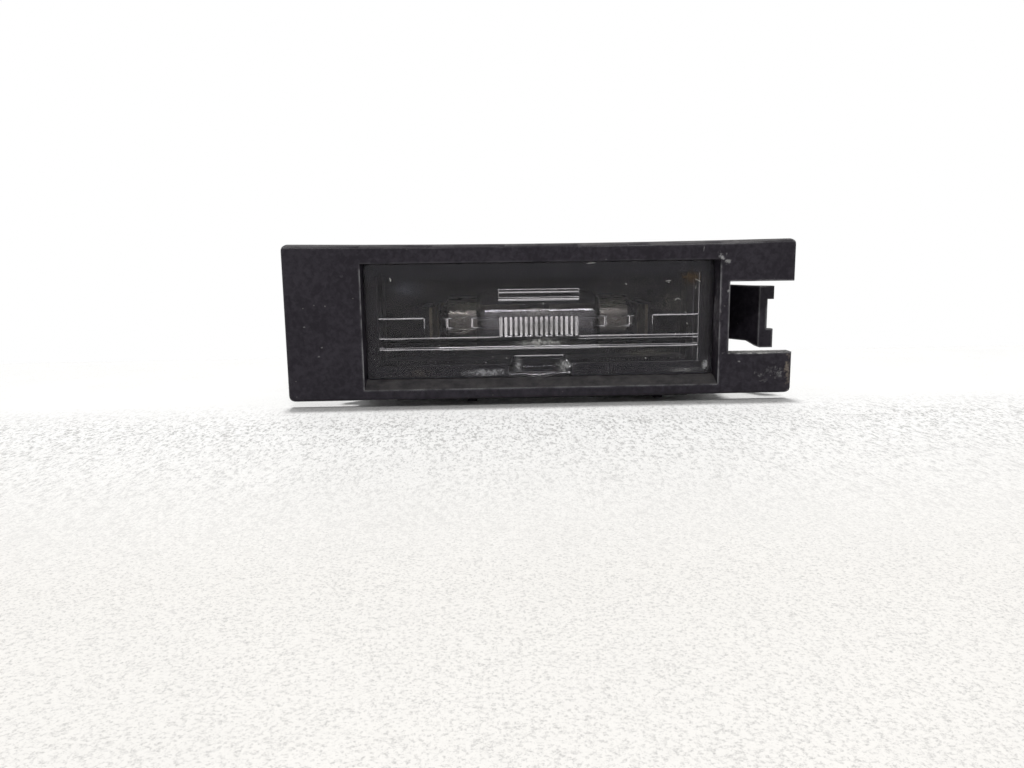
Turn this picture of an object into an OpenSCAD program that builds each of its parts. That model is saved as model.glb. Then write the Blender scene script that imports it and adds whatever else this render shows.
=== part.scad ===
// Clip-in number plate lamp for a car, in millimetres.
// X runs along the lamp, the lens faces -Y and Z is up.
// The origin is the middle of the bezel's back face, which lies on the car's panel.

/* [Bezel] */
// Length of the bezel plate
plate_l = 85; // [80:0.5:95]
// Height of the bezel plate
plate_h = 26; // [24:0.5:30]
// Thickness of the bezel plate
plate_t = 3; // [2.4:0.1:4]
// Radius of the plate's corners
corner_r = 1.3; // [0.8:0.1:2.5]
// Radius of the plate's front edges
edge_r = 0.6; // [0.2:0.1:0.8]
// How far the top edge dips at mid length
top_dip = 0.35; // [0.1:0.05:0.6]
// Height of the notch in the right end
notch_h = 12; // [8:0.5:14]
// Depth of the hollows in the plate's back
hollow_d = 1.2; // [0.6:0.1:1.4]
// Wall left between those hollows
hollow_wall = 1.4; // [1:0.1:2]

/* [Window] */
// Length of the window
window_l = 59.6; // [54:0.2:62]
// Border above the window
border_top = 3.3; // [2.6:0.1:5]
// Border below the window
border_low = 1.75; // [1.2:0.05:3]
// Depth of the lens behind the bezel's face
recess_d = 3; // [2:0.1:4]
// Rise of the sloping sill from the face to the lens
sill_rise = 1.25; // [0.2:0.05:2]

/* [Housing] */
// Wall of the housing
wall_t = 1.7; // [1.2:0.1:2.2]
// Width of the ledge that the lens rests on
ledge_w = 2.1; // [1.4:0.1:3]
// Thickness of that ledge
ledge_t = 1.6; // [1:0.1:2.5]

/* [Snap fixings] */
// Room for the panel between the bezel and the catches
grip = 2.4; // [2.2:0.1:4]
// Thickness of the spring tongue
tongue_t = 1.25; // [0.9:0.05:1.8]
// Height of the spring tongue
tongue_h = 9.8; // [6:0.2:10]
// Distance from the panel face to the tongue's tip
tongue_gap = 3; // [2.4:0.1:5]
// How far the tongue's tip stands off the housing's end wall
tongue_spread = 7.1; // [4:0.1:8]
// How far the ears stand out from the tongue
ear_out = 1.1; // [0.5:0.1:1.6]
// Height of the upper ear
upper_ear_h = 2.3; // [1.5:0.1:3]
// Height of the lower ear
lower_ear_h = 3.3; // [1.5:0.1:4]
// How far the lower ear hangs below the tongue
lower_ear_drop = 1; // [0.4:0.1:1.4]
// How far the fixed hook stands out at the left end
hook_out = 2.8; // [1.5:0.1:4]
// Thickness of the fixed hook
hook_t = 2.2; // [1.5:0.1:3]
// Width of the fixed hook
hook_w = 8; // [5:0.5:12]

/* [Underside] */
// How far the guide ribs reach below the bezel
foot_drop = 1.4; // [1:0.1:3]
// Width of a guide rib
foot_w = 1.6; // [1.2:0.1:2.5]
// Radius of a guide rib's upright corners
foot_r = 0.55; // [0.3:0.05:0.59]
// Place of the left guide rib
foot_left_x = -11.9; // [-15:0.1:-5]
// Place of the right guide rib
foot_right_x = 20.9; // [5:0.1:24]
// Length of the cross rib
cross_rib_l = 51; // [40:0.5:56]
// Middle of the cross rib
cross_rib_x = 0.5; // [-3:0.1:3]
// How far the cross rib stays above the guide ribs' feet
cross_rib_lift = 0.4; // [0.2:0.1:1]

/* [Lens] */
// Thickness of the lens plate
lens_t = 2; // [1.5:0.1:3]
// Depth of the lens rim behind its plate
rim_d = 1.6; // [1.2:0.1:3]
// Thickness of the lens rim
rim_t = 0.8; // [0.6:0.1:1.4]
// Gap around the lens in its seat
lens_gap = 0.15; // [0.05:0.05:0.3]
// Length of the catch block's top at the lens's lower edge
catch_l = 8.6; // [6:0.2:12]
// How far each flank of that block leans out
catch_lean = 1; // [0.4:0.1:1.6]
// Height over which the flanks lean
catch_lean_h = 2.1; // [1:0.1:2.6]
// Top of the block above the lens's seat
catch_h = 3.5; // [2.5:0.1:4]
// Rise of the block behind the lens plate
catch_rise = 1; // [0.6:0.1:1.4]
// Length of the pocket in the block
pocket_l = 5.7; // [3:0.1:6]
// Top of the pocket above the lens's seat
pocket_h = 2.6; // [1.5:0.1:2.8]
// Floor left under the pocket
pocket_floor = 0.3; // [0.2:0.05:0.5]

/* [Lens optics] */
// Number of flute pitches across the fluted field
flute_count = 8; // [4:2:12]
// Pitch of the flutes
flute_pitch = 1.75; // [1.2:0.05:2]
// Width of a flute at its foot
flute_w = 1.48; // [0.9:0.02:1.6]
// Width of the flat on top of a flute
flute_top_w = 0.34; // [0.2:0.02:0.5]
// Height of a flute
flute_rise = 0.57; // [0.3:0.01:0.7]
// Height of the valleys between the flutes
flute_floor = 0.1; // [0.05:0.05:0.3]
// Upper edge of the flutes and the side prisms
field_top = 0.3; // [-0.5:0.05:1]
// Lower edge of the flutes
field_low = -3; // [-3.5:0.05:-2]
// Flat strip between the flutes and the long bar
field_gap = 0.4; // [0.36:0.02:0.6]
// Height of the long bar below the flutes
long_bar_h = 1.4; // [1:0.1:2]
// Crown of the long bar
long_bar_rise = 0.5; // [0.3:0.05:0.65]
// Half width and height of the roof-shaped line above and below that bar
line_w = 0.13; // [0.08:0.01:0.15]
// Distance of the lower of these lines from the bar
line_gap = 0.3; // [0.2:0.05:0.5]
// Length of the short bar above the flutes
short_bar_l = 13.7; // [8:0.1:20]
// Height of the short bar
short_bar_h = 2.1; // [1.6:0.1:2.6]
// Middle of the short bar
short_bar_z = 4.35; // [3.5:0.05:5]
// Rise of the short bar without its two ridges
short_bar_rise = 0.35; // [0.2:0.05:0.8]
// Height of a ridge of the short bar
short_ridge_h = 0.26; // [0.1:0.02:0.4]
// Inner edge of the pads at the two ends
pad_x = 19.7; // [18:0.1:22]
// Rise of the end pads
pad_rise = 0.25; // [0.15:0.05:0.8]
// Outer edges of the wedge prisms
wedge_xs = [11.45, 15.7];
// Length over which a wedge fades out
wedge_l = 3.1; // [2:0.1:4]
// Height of a wedge prism
wedge_h = 1.65; // [1:0.05:2]
// Rise of a wedge at its outer edge
wedge_rise = 0.3; // [0.2:0.05:0.8]

/* [Bulb] */
// Overall length of the festoon bulb
bulb_l = 36; // [34:0.5:38]
// Diameter of its glass
glass_dia = 10.4; // [9:0.2:11]
// Wall of the glass
glass_t = 0.5; // [0.3:0.1:0.8]
// Diameter of its caps
cap_dia = 8.5; // [8:0.1:9]
// Length of a cap
cap_l = 7; // [6:0.25:8]
// Length of a cap's cone
cap_cone_l = 2.2; // [1.5:0.1:3]
// Diameter of the flat tip of a cap
cap_tip_dia = 2.6; // [2.2:0.1:3.2]
// Wall of a cap
cap_t = 0.3; // [0.2:0.05:0.4]
// Length of the filament
filament_l = 13; // [8:0.5:16]
// Diameter of the filament's coil
filament_dia = 0.7; // [0.4:0.1:1]
// Turns of the filament
filament_turns = 26; // [12:1:30]
// Diameter of the lead wires
lead_dia = 0.4; // [0.3:0.05:0.6]
// Height of a solder tip
solder_h = 0.5; // [0.3:0.1:0.8]
// Gap between the lens plate and the bulb's glass
bulb_front_gap = 2.8; // [2.2:0.1:4]
// Gap between the bulb's glass and the contact strips behind it
bulb_back_gap = 2.1; // [1:0.1:4]

/* [Bulb holder] */
// Thickness of the holder's cover
cover_t = 1.8; // [1.4:0.1:2.5]
// Radius of the cover's back edges
cover_edge_r = 0.6; // [0.2:0.1:0.8]
// Diameter of the round ejector marks
mark_dia = 3.6; // [2.5:0.1:5]
// Depth of those marks
mark_d = 0.2; // [0.1:0.05:0.3]
// Distance of the outer marks from mid length
mark_x = 25.5; // [22:0.5:27]
// Distance of an ejector mark's middle from the cover's long edges
mark_inset = 3.5; // [2.8:0.1:5]
// Depth of the collar inside the housing
collar_d = 3.5; // [2:0.1:5]
// Thickness of the collar
collar_t = 1.4; // [1:0.1:2]
// Gap between collar and housing
collar_gap = 0.2; // [0.1:0.05:0.4]
// Width of a latch arm
arm_w = 6; // [4:0.5:7]
// Thickness of a latch arm
arm_t = 1.1; // [0.8:0.1:1.2]
// Reach of a latch arm along the housing
arm_l = 7; // [5:0.5:8]
// Distance of the latch arms from mid length
arm_x = 16; // [15.5:0.1:16.5]
// Gap between an arm and the housing
arm_gap = 0.25; // [0.15:0.05:0.4]
// How far a latch nub stands out past the arm's gap
nub_out = 0.77; // [0.4:0.01:0.9]
// Flat top of a latch nub
nub_flat = 0.4; // [0.2:0.1:0.8]
// Thickness of the gasket
gasket_t = 0.8; // [0.5:0.1:1.5]
// Margin between the gasket and the housing's inner wall
gasket_margin = 0.2; // [0.1:0.05:0.4]

/* [Plug socket] */
// Inner length of the socket
socket_l = 13; // [12:0.2:16]
// Inner height of the socket
socket_h = 8; // [7:0.2:10]
// Depth of the socket
socket_d = 10; // [8:0.5:14]
// Wall of the socket
socket_t = 1.3; // [1:0.1:2]
// Distance between the two blades
blade_pitch = 6.4; // [6:0.1:7.5]
// Width of a blade
blade_w = 2.8; // [2.4:0.1:4.8]
// Thickness of a blade
blade_t = 0.8; // [0.6:0.1:1]
// Length of a blade behind the cover
blade_l = 7.5; // [6:0.5:9]
// Rise of the socket's catch
socket_catch_h = 0.9; // [0.5:0.1:1.2]
// Width of a key rib in the socket
key_w = 0.9; // [0.6:0.1:1.2]
// Height of a key rib
key_h = 0.7; // [0.4:0.1:1]
// Distance of the key ribs from mid length
key_x = 4.9; // [4.5:0.1:5.2]

/* [Contacts] */
// Thickness of the contact strip
strip_t = 0.5; // [0.3:0.05:0.6]
// Width of the contact strip
strip_w = 5.5; // [4.5:0.1:7]
// Diameter of the hole that holds the bulb's tip
tip_hole_dia = 3.8; // [3.4:0.1:4]
// Gap between a cap's cone and the rim of that hole
tip_gap = 0.05; // [0.02:0.01:0.1]
// Reach of the contact past the bulb's axis
contact_reach = 3.6; // [3:0.1:4.2]
// Thickness of the post behind a contact
post_t = 1.4; // [1:0.1:2]
// Room for the contact to spring
spring_room = 1; // [0.5:0.1:1.5]

/* [Hidden] */
$fn = 64;
// Overlap that lets a cut run clear through a face
over = 1;
// Bite that joins two shapes of one moulding
bite = 0.3;

// Places along Z
plate_top = plate_h/2;
plate_low = -plate_h/2;
window_top = plate_top - border_top;
window_low = plate_low + border_low;
seat_low = window_low + sill_rise;
housing_top = window_top + wall_t;
housing_low = seat_low - wall_t;
foot_z = plate_low - foot_drop;
bulb_z = (window_top + window_low)/2;

// Places along Y, from the bezel's face to the plug socket
face_y = -plate_t;
lens_y = face_y + recess_d;
lens_back_y = lens_y + lens_t;
ledge_back_y = lens_back_y + ledge_t;
bulb_y = lens_back_y + bulb_front_gap + glass_dia/2;
housing_d = bulb_y + glass_dia/2 + bulb_back_gap + strip_t - gasket_t;
cover_y = housing_d + gasket_t;
cover_back_y = cover_y + cover_t;

// Places along X
housing_l = window_l + 2*wall_t;
opening_l = window_l - 2*ledge_w;
room_l = window_l;

// Radius of the large circle that hollows the bezel's top edge
dip_r = (plate_l*plate_l/4 + top_dip*top_dip)/(2*top_dip);

// Radius of a circle with a given chord and crown
function crown_r(chord, rise) = (chord*chord/4 + rise*rise)/(2*rise);

// A flat shape drawn in X and Z, drawn out along Y
module along_y(y0, y1) {
    translate([0, y1, 0]) rotate([90, 0, 0]) linear_extrude(y1 - y0) children();
}

// A flat shape drawn in Y and Z, drawn out along X
module along_x(x0, x1) {
    translate([x0, 0, 0]) rotate([90, 0, 90]) linear_extrude(x1 - x0) children();
}

// A flat shape drawn in X and Y, drawn out along Z
module along_z(z0, z1) {
    translate([0, 0, z0]) linear_extrude(z1 - z0) children();
}

// A block between two corners
module block(low, high) {
    translate(low) cube(high - low);
}

// A flat rectangle between two corners, with round corners
module round_rect(low, high, r) {
    translate([low[0] + r, low[1]]) square([high[0] - low[0] - 2*r, high[1] - low[1]]);
    translate([low[0], low[1] + r]) square([high[0] - low[0], high[1] - low[1] - 2*r]);
    for (x = [low[0] + r, high[0] - r], y = [low[1] + r, high[1] - r])
        translate([x, y]) circle(r);
}

// The same with each corner as a few flat cuts, for small corners out of sight
module cut_rect(low, high, r) {
    steps = 4;
    corners = [[high[0] - r, high[1] - r], [low[0] + r, high[1] - r],
        [low[0] + r, low[1] + r], [high[0] - r, low[1] + r]];
    polygon([for (i = [0:3], k = [0:steps])
        corners[i] + r*[cos(90*(i + k/steps)), sin(90*(i + k/steps))]]);
}

// A turned shape whose profile is drawn as radius and place along X
module turned_along_x(x) {
    translate([x, bulb_y, bulb_z]) rotate([0, 90, 0]) rotate_extrude() children();
}

// Bezel plate, whose front edges are round and whose top edge dips a little
module bezel_plate() {
    round_back = 2*edge_r;
    difference() {
        intersection() {
            along_y(face_y, 0) round_rect([-plate_l/2, plate_low], [plate_l/2, plate_top], corner_r);
            along_x(-plate_l/2, plate_l/2)
                round_rect([face_y, plate_low], [round_back, plate_top], edge_r);
            along_z(plate_low, plate_top)
                round_rect([-plate_l/2, face_y], [plate_l/2, round_back], edge_r);
        }
        top_hollow();
    }
}

// The large round cut of the top edge, with the front edge's round in it
module top_hollow() {
    translate([0, 0, plate_top - top_dip + dip_r]) rotate([90, 0, 0]) rotate([0, 0, 268])
        rotate_extrude(angle = 4, $fn = 2160) difference() {
            translate([dip_r - plate_h, -over]) square([plate_h + edge_r, plate_t + 2*over]);
            translate([dip_r, -2*over]) square([2*edge_r, plate_t + 2*over - edge_r]);
            translate([dip_r + edge_r, plate_t - edge_r]) circle(edge_r, $fn = 32);
        }
}

// Window with its sloping sill
module window_cut() {
    slope = sill_rise/recess_d;
    along_x(-window_l/2, window_l/2) polygon([
        [face_y - over, window_top],
        [face_y - over, window_low - slope*over],
        [lens_y, seat_low],
        [lens_y, window_top]]);
}

// Notch in the right end, as deep as the housing's end wall
module notch_cut() {
    block([housing_l/2, face_y - over, -notch_h/2], [plate_l/2 + over, over, notch_h/2]);
}

// Hollows in the back of the wide left end and of the two arms
module back_hollows() {
    x0 = -plate_l/2 + hollow_wall;
    x1 = -housing_l/2 - hollow_wall;
    step = (plate_h - hollow_wall)/3;
    for (i = [0:2]) {
        z0 = plate_low + hollow_wall + i*step;
        along_y(-hollow_d, over) cut_rect([x0, z0], [x1, z0 + step - hollow_wall], hollow_wall/3);
    }
    arm_x0 = housing_l/2 + hollow_wall;
    arm_x1 = plate_l/2 - hollow_wall;
    for (side = [0, 1]) mirror([0, 0, side]) along_y(-hollow_d, over)
        cut_rect([arm_x0, notch_h/2 + hollow_wall], [arm_x1, plate_top - hollow_wall], hollow_wall/3);
}

// Walls of the housing, open at the back
module housing_walls() {
    along_y(-bite, housing_d)
        round_rect([-housing_l/2, housing_low], [housing_l/2, housing_top], wall_t/2);
}

// Seat of the lens, the opening in its ledge and the room behind
module housing_room() {
    along_y(lens_y - bite, lens_back_y) square_between(window_l/2, seat_low, window_top);
    along_y(lens_y, housing_d) square_between(opening_l/2, seat_low + ledge_w, window_top - ledge_w);
    along_y(ledge_back_y, housing_d + over) square_between(room_l/2, seat_low, window_top);
    along_y(lens_y, ledge_back_y + over)
        square_between(catch_l/2 + catch_lean + lens_gap, seat_low, seat_low + ledge_w + over);
}

// A flat rectangle as wide to the left as to the right
module square_between(half, low, high) {
    translate([-half, low]) square([2*half, high - low]);
}

// Spring tongue at the right end, with an ear at each corner of its tip
module tongue() {
    wall_x = housing_l/2;
    tip_x = wall_x + tongue_spread;
    fall = housing_d - tongue_gap - 2*tongue_t;
    slope = tongue_spread/fall;
    thick = tongue_t*sqrt(1 + slope*slope);
    along_z(-tongue_h/2, tongue_h/2) polygon([
        [wall_x - bite, housing_d],
        [wall_x - bite, tongue_gap + fall + bite/slope],
        [tip_x, tongue_gap],
        [tip_x + thick, tongue_gap],
        [wall_x + thick*0.9, housing_d - tongue_t/2],
        [wall_x + thick*0.5, housing_d]]);
    along_z(tongue_h/2 - upper_ear_h, tongue_h/2) ear_profile(tip_x, thick, slope);
    low = -tongue_h/2 - lower_ear_drop;
    intersection() {
        along_z(low, low + lower_ear_h) ear_profile(tip_x, thick, slope);
        along_y(tongue_gap - over, housing_d) lower_slant(tip_x, tip_x + thick + 2*ear_out);
    }
    intersection() {
        along_z(low, 0) polygon([
            [tip_x, tongue_gap],
            [tip_x + thick, tongue_gap],
            [tip_x + thick - slope*tongue_spread, tongue_gap + tongue_spread],
            [tip_x - slope*tongue_spread, tongue_gap + tongue_spread]]);
        along_y(tongue_gap - over, housing_d) lower_slant(tip_x, tip_x + thick);
    }
}

// Ear of the tongue, with a ramp that lets it slide into the panel
module ear_profile(tip_x, thick, slope) {
    ramp = 3*ear_out;
    polygon([
        [tip_x, tongue_gap],
        [tip_x + thick + ear_out, tongue_gap],
        [tip_x + thick + ear_out, tongue_gap + ear_out],
        [tip_x + thick - slope*ramp, tongue_gap + ramp],
        [tip_x - slope*ramp, tongue_gap + ramp]]);
}

// Outline of the tongue's lower corner, which slants down to the lower ear
module lower_slant(tip_x, end_x) {
    polygon([
        [end_x, -tongue_h/2 - lower_ear_drop],
        [end_x, over],
        [tip_x - 3*lower_ear_drop, over],
        [tip_x - 1.2*lower_ear_drop, -tongue_h/2],
        [tip_x + 0.3*lower_ear_drop, -tongue_h/2 - lower_ear_drop]]);
}

// Fixed hook at the left end
module hook() {
    wall_x = -housing_l/2;
    along_z(-hook_w/2, hook_w/2) polygon([
        [wall_x + bite, grip],
        [wall_x - hook_out, grip],
        [wall_x - hook_out, grip + hook_t/2],
        [wall_x - hook_out/2, grip + hook_t],
        [wall_x + bite, grip + hook_t + hook_out/2]]);
}

// Guide ribs under the housing, and the cross rib between the bezel and them
module underside_ribs() {
    back_y = housing_d - tongue_t;
    for (x = [foot_left_x, foot_right_x]) intersection() {
        along_x(x - foot_w/2, x + foot_w/2) polygon([
            [grip, housing_low + bite],
            [grip, foot_z],
            [back_y - foot_drop, foot_z],
            [back_y, foot_z + foot_drop],
            [back_y, housing_low + bite]]);
        along_z(foot_z, housing_low + bite)
            round_rect([x - foot_w/2, grip], [x + foot_w/2, back_y], foot_r);
    }
    block([cross_rib_x - cross_rib_l/2, grip, foot_z + cross_rib_lift],
        [cross_rib_x + cross_rib_l/2, grip + foot_w, housing_low + bite]);
}

// Nubs on the housing that the latch arms of the holder catch
module latch_nubs() {
    for (x = [-arm_x, arm_x]) {
        along_x(x - nub_w/2, x + nub_w/2) nub_profile(housing_top, 1);
        along_x(x - nub_w/2, x + nub_w/2) nub_profile(housing_low, -1);
    }
}
nub_w = arm_w - 2*arm_t - 2*arm_gap;
nub_y = cover_y - arm_l + 2*arm_t;
nub_rise = arm_gap + nub_out;
module nub_profile(z, way) {
    polygon([
        [nub_y, z - way*bite],
        [nub_y, z + way*nub_rise],
        [nub_y + nub_flat, z + way*nub_rise],
        [nub_y + 2*nub_rise, z - way*bite]]);
}

module housing() {
    color([0.13, 0.13, 0.15]) difference() {
        union() {
            difference() {
                bezel_plate();
                notch_cut();
                back_hollows();
            }
            housing_walls();
            tongue();
            hook();
            underside_ribs();
            latch_nubs();
        }
        window_cut();
        housing_room();
    }
}

// Lens plate with the rim that drops through the ledge
module lens_body() {
    along_y(lens_y, lens_back_y)
        square_between(window_l/2 - lens_gap, seat_low + lens_gap, window_top - lens_gap);
    difference() {
        along_y(lens_back_y - bite, lens_back_y + rim_d)
            square_between(rim_half, rim_low, rim_top);
        along_y(lens_back_y - over, lens_back_y + rim_d + over)
            square_between(rim_half - rim_t, rim_low + rim_t, rim_top - rim_t);
    }
}
rim_half = opening_l/2 - lens_gap;
rim_low = seat_low + ledge_w + lens_gap;
rim_top = window_top - ledge_w - lens_gap;

// Fluted field: roof-shaped flutes side by side, hipped at their lower ends
module flutes() {
    half = flute_count*flute_pitch/2;
    foot_y = lens_back_y + flute_floor;
    top_y = foot_y + flute_rise;
    block([-half, lens_back_y - bite, field_low], [half, foot_y, field_top]);
    intersection() {
        along_x(-half, half) polygon([
            [lens_back_y, field_low],
            [foot_y, field_low],
            [top_y + bite, field_low + flute_rise + bite],
            [top_y + bite, field_top],
            [lens_back_y, field_top]]);
        union() for (i = [0:flute_count])
            translate([-half + i*flute_pitch, 0, 0]) along_z(field_low - over, field_top + over) polygon([
                [-flute_w/2, lens_back_y - bite],
                [-flute_w/2, foot_y],
                [-flute_top_w/2, top_y],
                [flute_top_w/2, top_y],
                [flute_w/2, foot_y],
                [flute_w/2, lens_back_y - bite]]);
    }
}

// Round bar along the whole lens
module long_bar() {
    r = crown_r(long_bar_h, long_bar_rise);
    translate([0, lens_back_y + long_bar_rise - r, long_bar_z])
        rotate([0, 90, 0]) cylinder(r = r, h = 2*(rim_half - rim_t/2), center = true);
}
long_bar_z = field_low - field_gap - long_bar_h/2;

// Roof-shaped line along the lens
module roof_line(x0, x1, z) {
    along_x(x0, x1) polygon([
        [lens_back_y - bite, z - line_w],
        [lens_back_y, z - line_w],
        [lens_back_y + line_w, z],
        [lens_back_y, z + line_w],
        [lens_back_y - bite, z + line_w]]);
}

// The lines above and below the long bar; the upper one stops beside the flutes
module roof_lines() {
    flutes_half = flute_count*flute_pitch/2;
    end_x = rim_half - rim_t/2;
    for (side = [0, 1]) mirror([side, 0, 0]) roof_line(flutes_half + line_w, end_x, field_low - field_gap/2);
    roof_line(-end_x, end_x, long_bar_z - long_bar_h/2 - line_gap);
}

// Short bar above the flutes, with a ridge near each edge
module short_bar() {
    low = short_bar_z - short_bar_h/2;
    high = short_bar_z + short_bar_h/2;
    y = lens_back_y + short_bar_rise;
    along_x(-short_bar_l/2, short_bar_l/2) polygon([
        [lens_back_y - bite, low],
        [y, low],
        [y + short_ridge_h, low + short_ridge_h],
        [y, low + 2*short_ridge_h],
        [y, high - 3*short_ridge_h],
        [y + short_ridge_h, high - 2*short_ridge_h],
        [y, high - short_ridge_h],
        [y, high],
        [lens_back_y - bite, high]]);
}

// Low pads at the two ends of the lens
module end_pads() {
    for (side = [0, 1]) mirror([side, 0, 0])
        block([pad_x, lens_back_y - bite, field_low],
            [rim_half - rim_t/2, lens_back_y + pad_rise, field_top]);
}

// Catch block at the lens's lower edge, which stands in the notch of the ledge
module lens_catch() {
    top = seat_low + catch_h;
    low = seat_low + 3*lens_gap;
    half = catch_l/2;
    difference() {
        along_y(lens_back_y - bite, lens_back_y + catch_rise) polygon([
            [-half, top],
            [-half - catch_lean, top - catch_lean_h],
            [-half - catch_lean, low],
            [half + catch_lean, low],
            [half + catch_lean, top - catch_lean_h],
            [half, top]]);
        block([-pocket_l/2, lens_back_y + pocket_floor, low - over],
            [pocket_l/2, lens_back_y + catch_rise + rim_d + over, seat_low + pocket_h]);
    }
}

// Wedge prisms, high at their outer edge and fading towards the middle
module wedges() {
    for (side = [0, 1], x = wedge_xs) mirror([side, 0, 0])
        along_z(field_top - wedge_h, field_top) polygon([
            [x, lens_back_y - bite],
            [x, lens_back_y + wedge_rise],
            [x - wedge_l, lens_back_y],
            [x - wedge_l, lens_back_y - bite]]);
}

module lens() {
    color([0.75, 0.78, 0.8, 0.5]) union() {
        lens_body();
        flutes();
        long_bar();
        roof_lines();
        short_bar();
        end_pads();
        wedges();
        lens_catch();
    }
}

// Cover of the bulb holder with the collar that enters the housing
module cover() {
    front = cover_y - 2*cover_edge_r;
    intersection() {
        along_y(cover_y, cover_back_y)
            round_rect([-housing_l/2, housing_low], [housing_l/2, housing_top], wall_t/2);
        along_x(-housing_l/2, housing_l/2)
            round_rect([front, housing_low], [cover_back_y, housing_top], cover_edge_r);
        along_z(housing_low, housing_top)
            round_rect([-housing_l/2, front], [housing_l/2, cover_back_y], cover_edge_r);
    }
    half = room_l/2 - collar_gap;
    low = seat_low + collar_gap;
    high = window_top - collar_gap;
    difference() {
        along_y(housing_d - collar_d, cover_y + bite) square_between(half, low, high);
        along_y(housing_d - collar_d - over, cover_y)
            square_between(half - collar_t, low + collar_t, high - collar_t);
    }
}

// Latch arm over the top of the housing, with a window for its nub
module latch_arm(way) {
    z0 = way > 0 ? housing_top + arm_gap : housing_low - arm_gap - arm_t;
    tip_y = cover_y - arm_l;
    difference() {
        union() {
            block([arm_x - arm_w/2, tip_y, z0], [arm_x + arm_w/2, cover_back_y, z0 + arm_t]);
            block([arm_x - arm_w/2, cover_y, way > 0 ? housing_top - bite : z0],
                [arm_x + arm_w/2, cover_back_y, way > 0 ? z0 + arm_t : housing_low + bite]);
        }
        block([arm_x - nub_w/2 - arm_gap, tip_y + arm_t, z0 - over],
            [arm_x + nub_w/2 + arm_gap, nub_y + 2*nub_rise + arm_gap, z0 + arm_t + over]);
    }
}

// Plug socket around the two blades, with a catch on its top
module socket() {
    back = cover_back_y + socket_d;
    difference() {
        along_y(cover_back_y - bite, back) round_rect(
            [-socket_l/2 - socket_t, bulb_z - socket_h/2 - socket_t],
            [socket_l/2 + socket_t, bulb_z + socket_h/2 + socket_t], socket_t);
        along_y(cover_back_y, back + over) round_rect(
            [-socket_l/2, bulb_z - socket_h/2], [socket_l/2, bulb_z + socket_h/2], socket_t/2);
    }
    top = bulb_z + socket_h/2 + socket_t;
    along_x(-blade_w, blade_w) polygon([
        [back - socket_d*0.35, top - bite],
        [back - socket_d*0.35, top + socket_catch_h],
        [back - socket_d*0.2, top + socket_catch_h],
        [back, top],
        [back, top - bite]]);
}

// Posts that back the two contacts
module posts() {
    x0 = contact_x + strip_t + spring_room;
    for (side = [0, 1]) mirror([side, 0, 0])
        block([x0, bulb_y - contact_reach, bulb_z - strip_w/2], [x0 + post_t, cover_y + bite, bulb_z + strip_w/2]);
}

// Key ribs on the floor of the socket
module socket_keys() {
    low = bulb_z - socket_h/2;
    for (side = [0, 1]) mirror([side, 0, 0])
        block([key_x - key_w/2, cover_back_y - bite, low - bite],
            [key_x + key_w/2, cover_back_y + 0.8*socket_d, low + key_h]);
}

// Round marks that the ejector pins leave in the cover
module ejector_marks() {
    for (side = [0, 1], z = [housing_top - mark_inset, housing_low + mark_inset]) mirror([side, 0, 0])
        translate([mark_x, cover_back_y - mark_d, z])
            rotate([-90, 0, 0]) cylinder(d = mark_dia, h = over);
}

// Slots through the cover for the blades
module blade_slots() {
    for (side = [-1, 1])
        block([side*blade_pitch/2 - blade_t/2 - tip_gap, cover_y - over, bulb_z - blade_w/2 - tip_gap],
            [side*blade_pitch/2 + blade_t/2 + tip_gap, cover_back_y + over, bulb_z + blade_w/2 + tip_gap]);
}

// Ribs that stiffen the cover beside the socket
module cover_ribs() {
    x0 = socket_l/2 + socket_t;
    for (side = [0, 1], z = [-socket_h/3, socket_h/3]) mirror([side, 0, 0])
        along_z(bulb_z + z - cover_t/3, bulb_z + z + cover_t/3) polygon([
            [x0 - bite, cover_back_y - bite],
            [x0 - bite, cover_back_y + socket_d*0.4],
            [housing_l/2 - 2*wall_t, cover_back_y],
            [housing_l/2 - 2*wall_t, cover_back_y - bite]]);
}

module bulb_holder() {
    color([0.1, 0.1, 0.11]) difference() {
        union() {
            cover();
            socket();
            posts();
            cover_ribs();
            socket_keys();
            for (side = [0, 1], way = [-1, 1]) mirror([side, 0, 0]) latch_arm(way);
        }
        blade_slots();
        ejector_marks();
    }
}

module holder_gasket() {
    inner = gasket_margin;
    color([0.2, 0.2, 0.21]) difference() {
        along_y(housing_d, cover_y)
            round_rect([-housing_l/2, housing_low], [housing_l/2, housing_top], wall_t/2);
        along_y(housing_d - over, cover_y + over) round_rect(
            [-room_l/2 - inner, seat_low - inner], [room_l/2 + inner, window_top + inner], wall_t/4);
    }
}

// Where the rim of the tip hole meets the cap's cone
cone_share = (tip_hole_dia - cap_tip_dia)/(cap_dia - cap_tip_dia);
contact_x = bulb_l/2 - cone_share*cap_cone_l + tip_gap;

// One stamped contact: blade, strip along the cover, and a leg that springs against the bulb
module contact() {
    leg_tip = bulb_y - contact_reach;
    color([0.72, 0.6, 0.35]) difference() {
        union() {
            block([contact_x, leg_tip, bulb_z - strip_w/2], [contact_x + strip_t, cover_y, bulb_z + strip_w/2]);
            block([blade_pitch/2 - blade_t/2, cover_y - strip_t, bulb_z - strip_w/2],
                [contact_x + strip_t, cover_y, bulb_z + strip_w/2]);
            block([blade_pitch/2 - blade_t/2, cover_y - strip_t, bulb_z - blade_w/2],
                [blade_pitch/2 + blade_t/2, cover_back_y + blade_l, bulb_z + blade_w/2]);
            along_z(bulb_z - strip_w/2, bulb_z + strip_w/2) polygon([
                [contact_x, leg_tip + strip_t],
                [contact_x + spring_room, leg_tip - 2*spring_room],
                [contact_x + spring_room + strip_t, leg_tip - 2*spring_room],
                [contact_x + strip_t, leg_tip + strip_t]]);
        }
        translate([contact_x - over, bulb_y, bulb_z]) rotate([0, 90, 0])
            cylinder(d = tip_hole_dia, h = 2*over + strip_t);
    }
}

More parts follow.
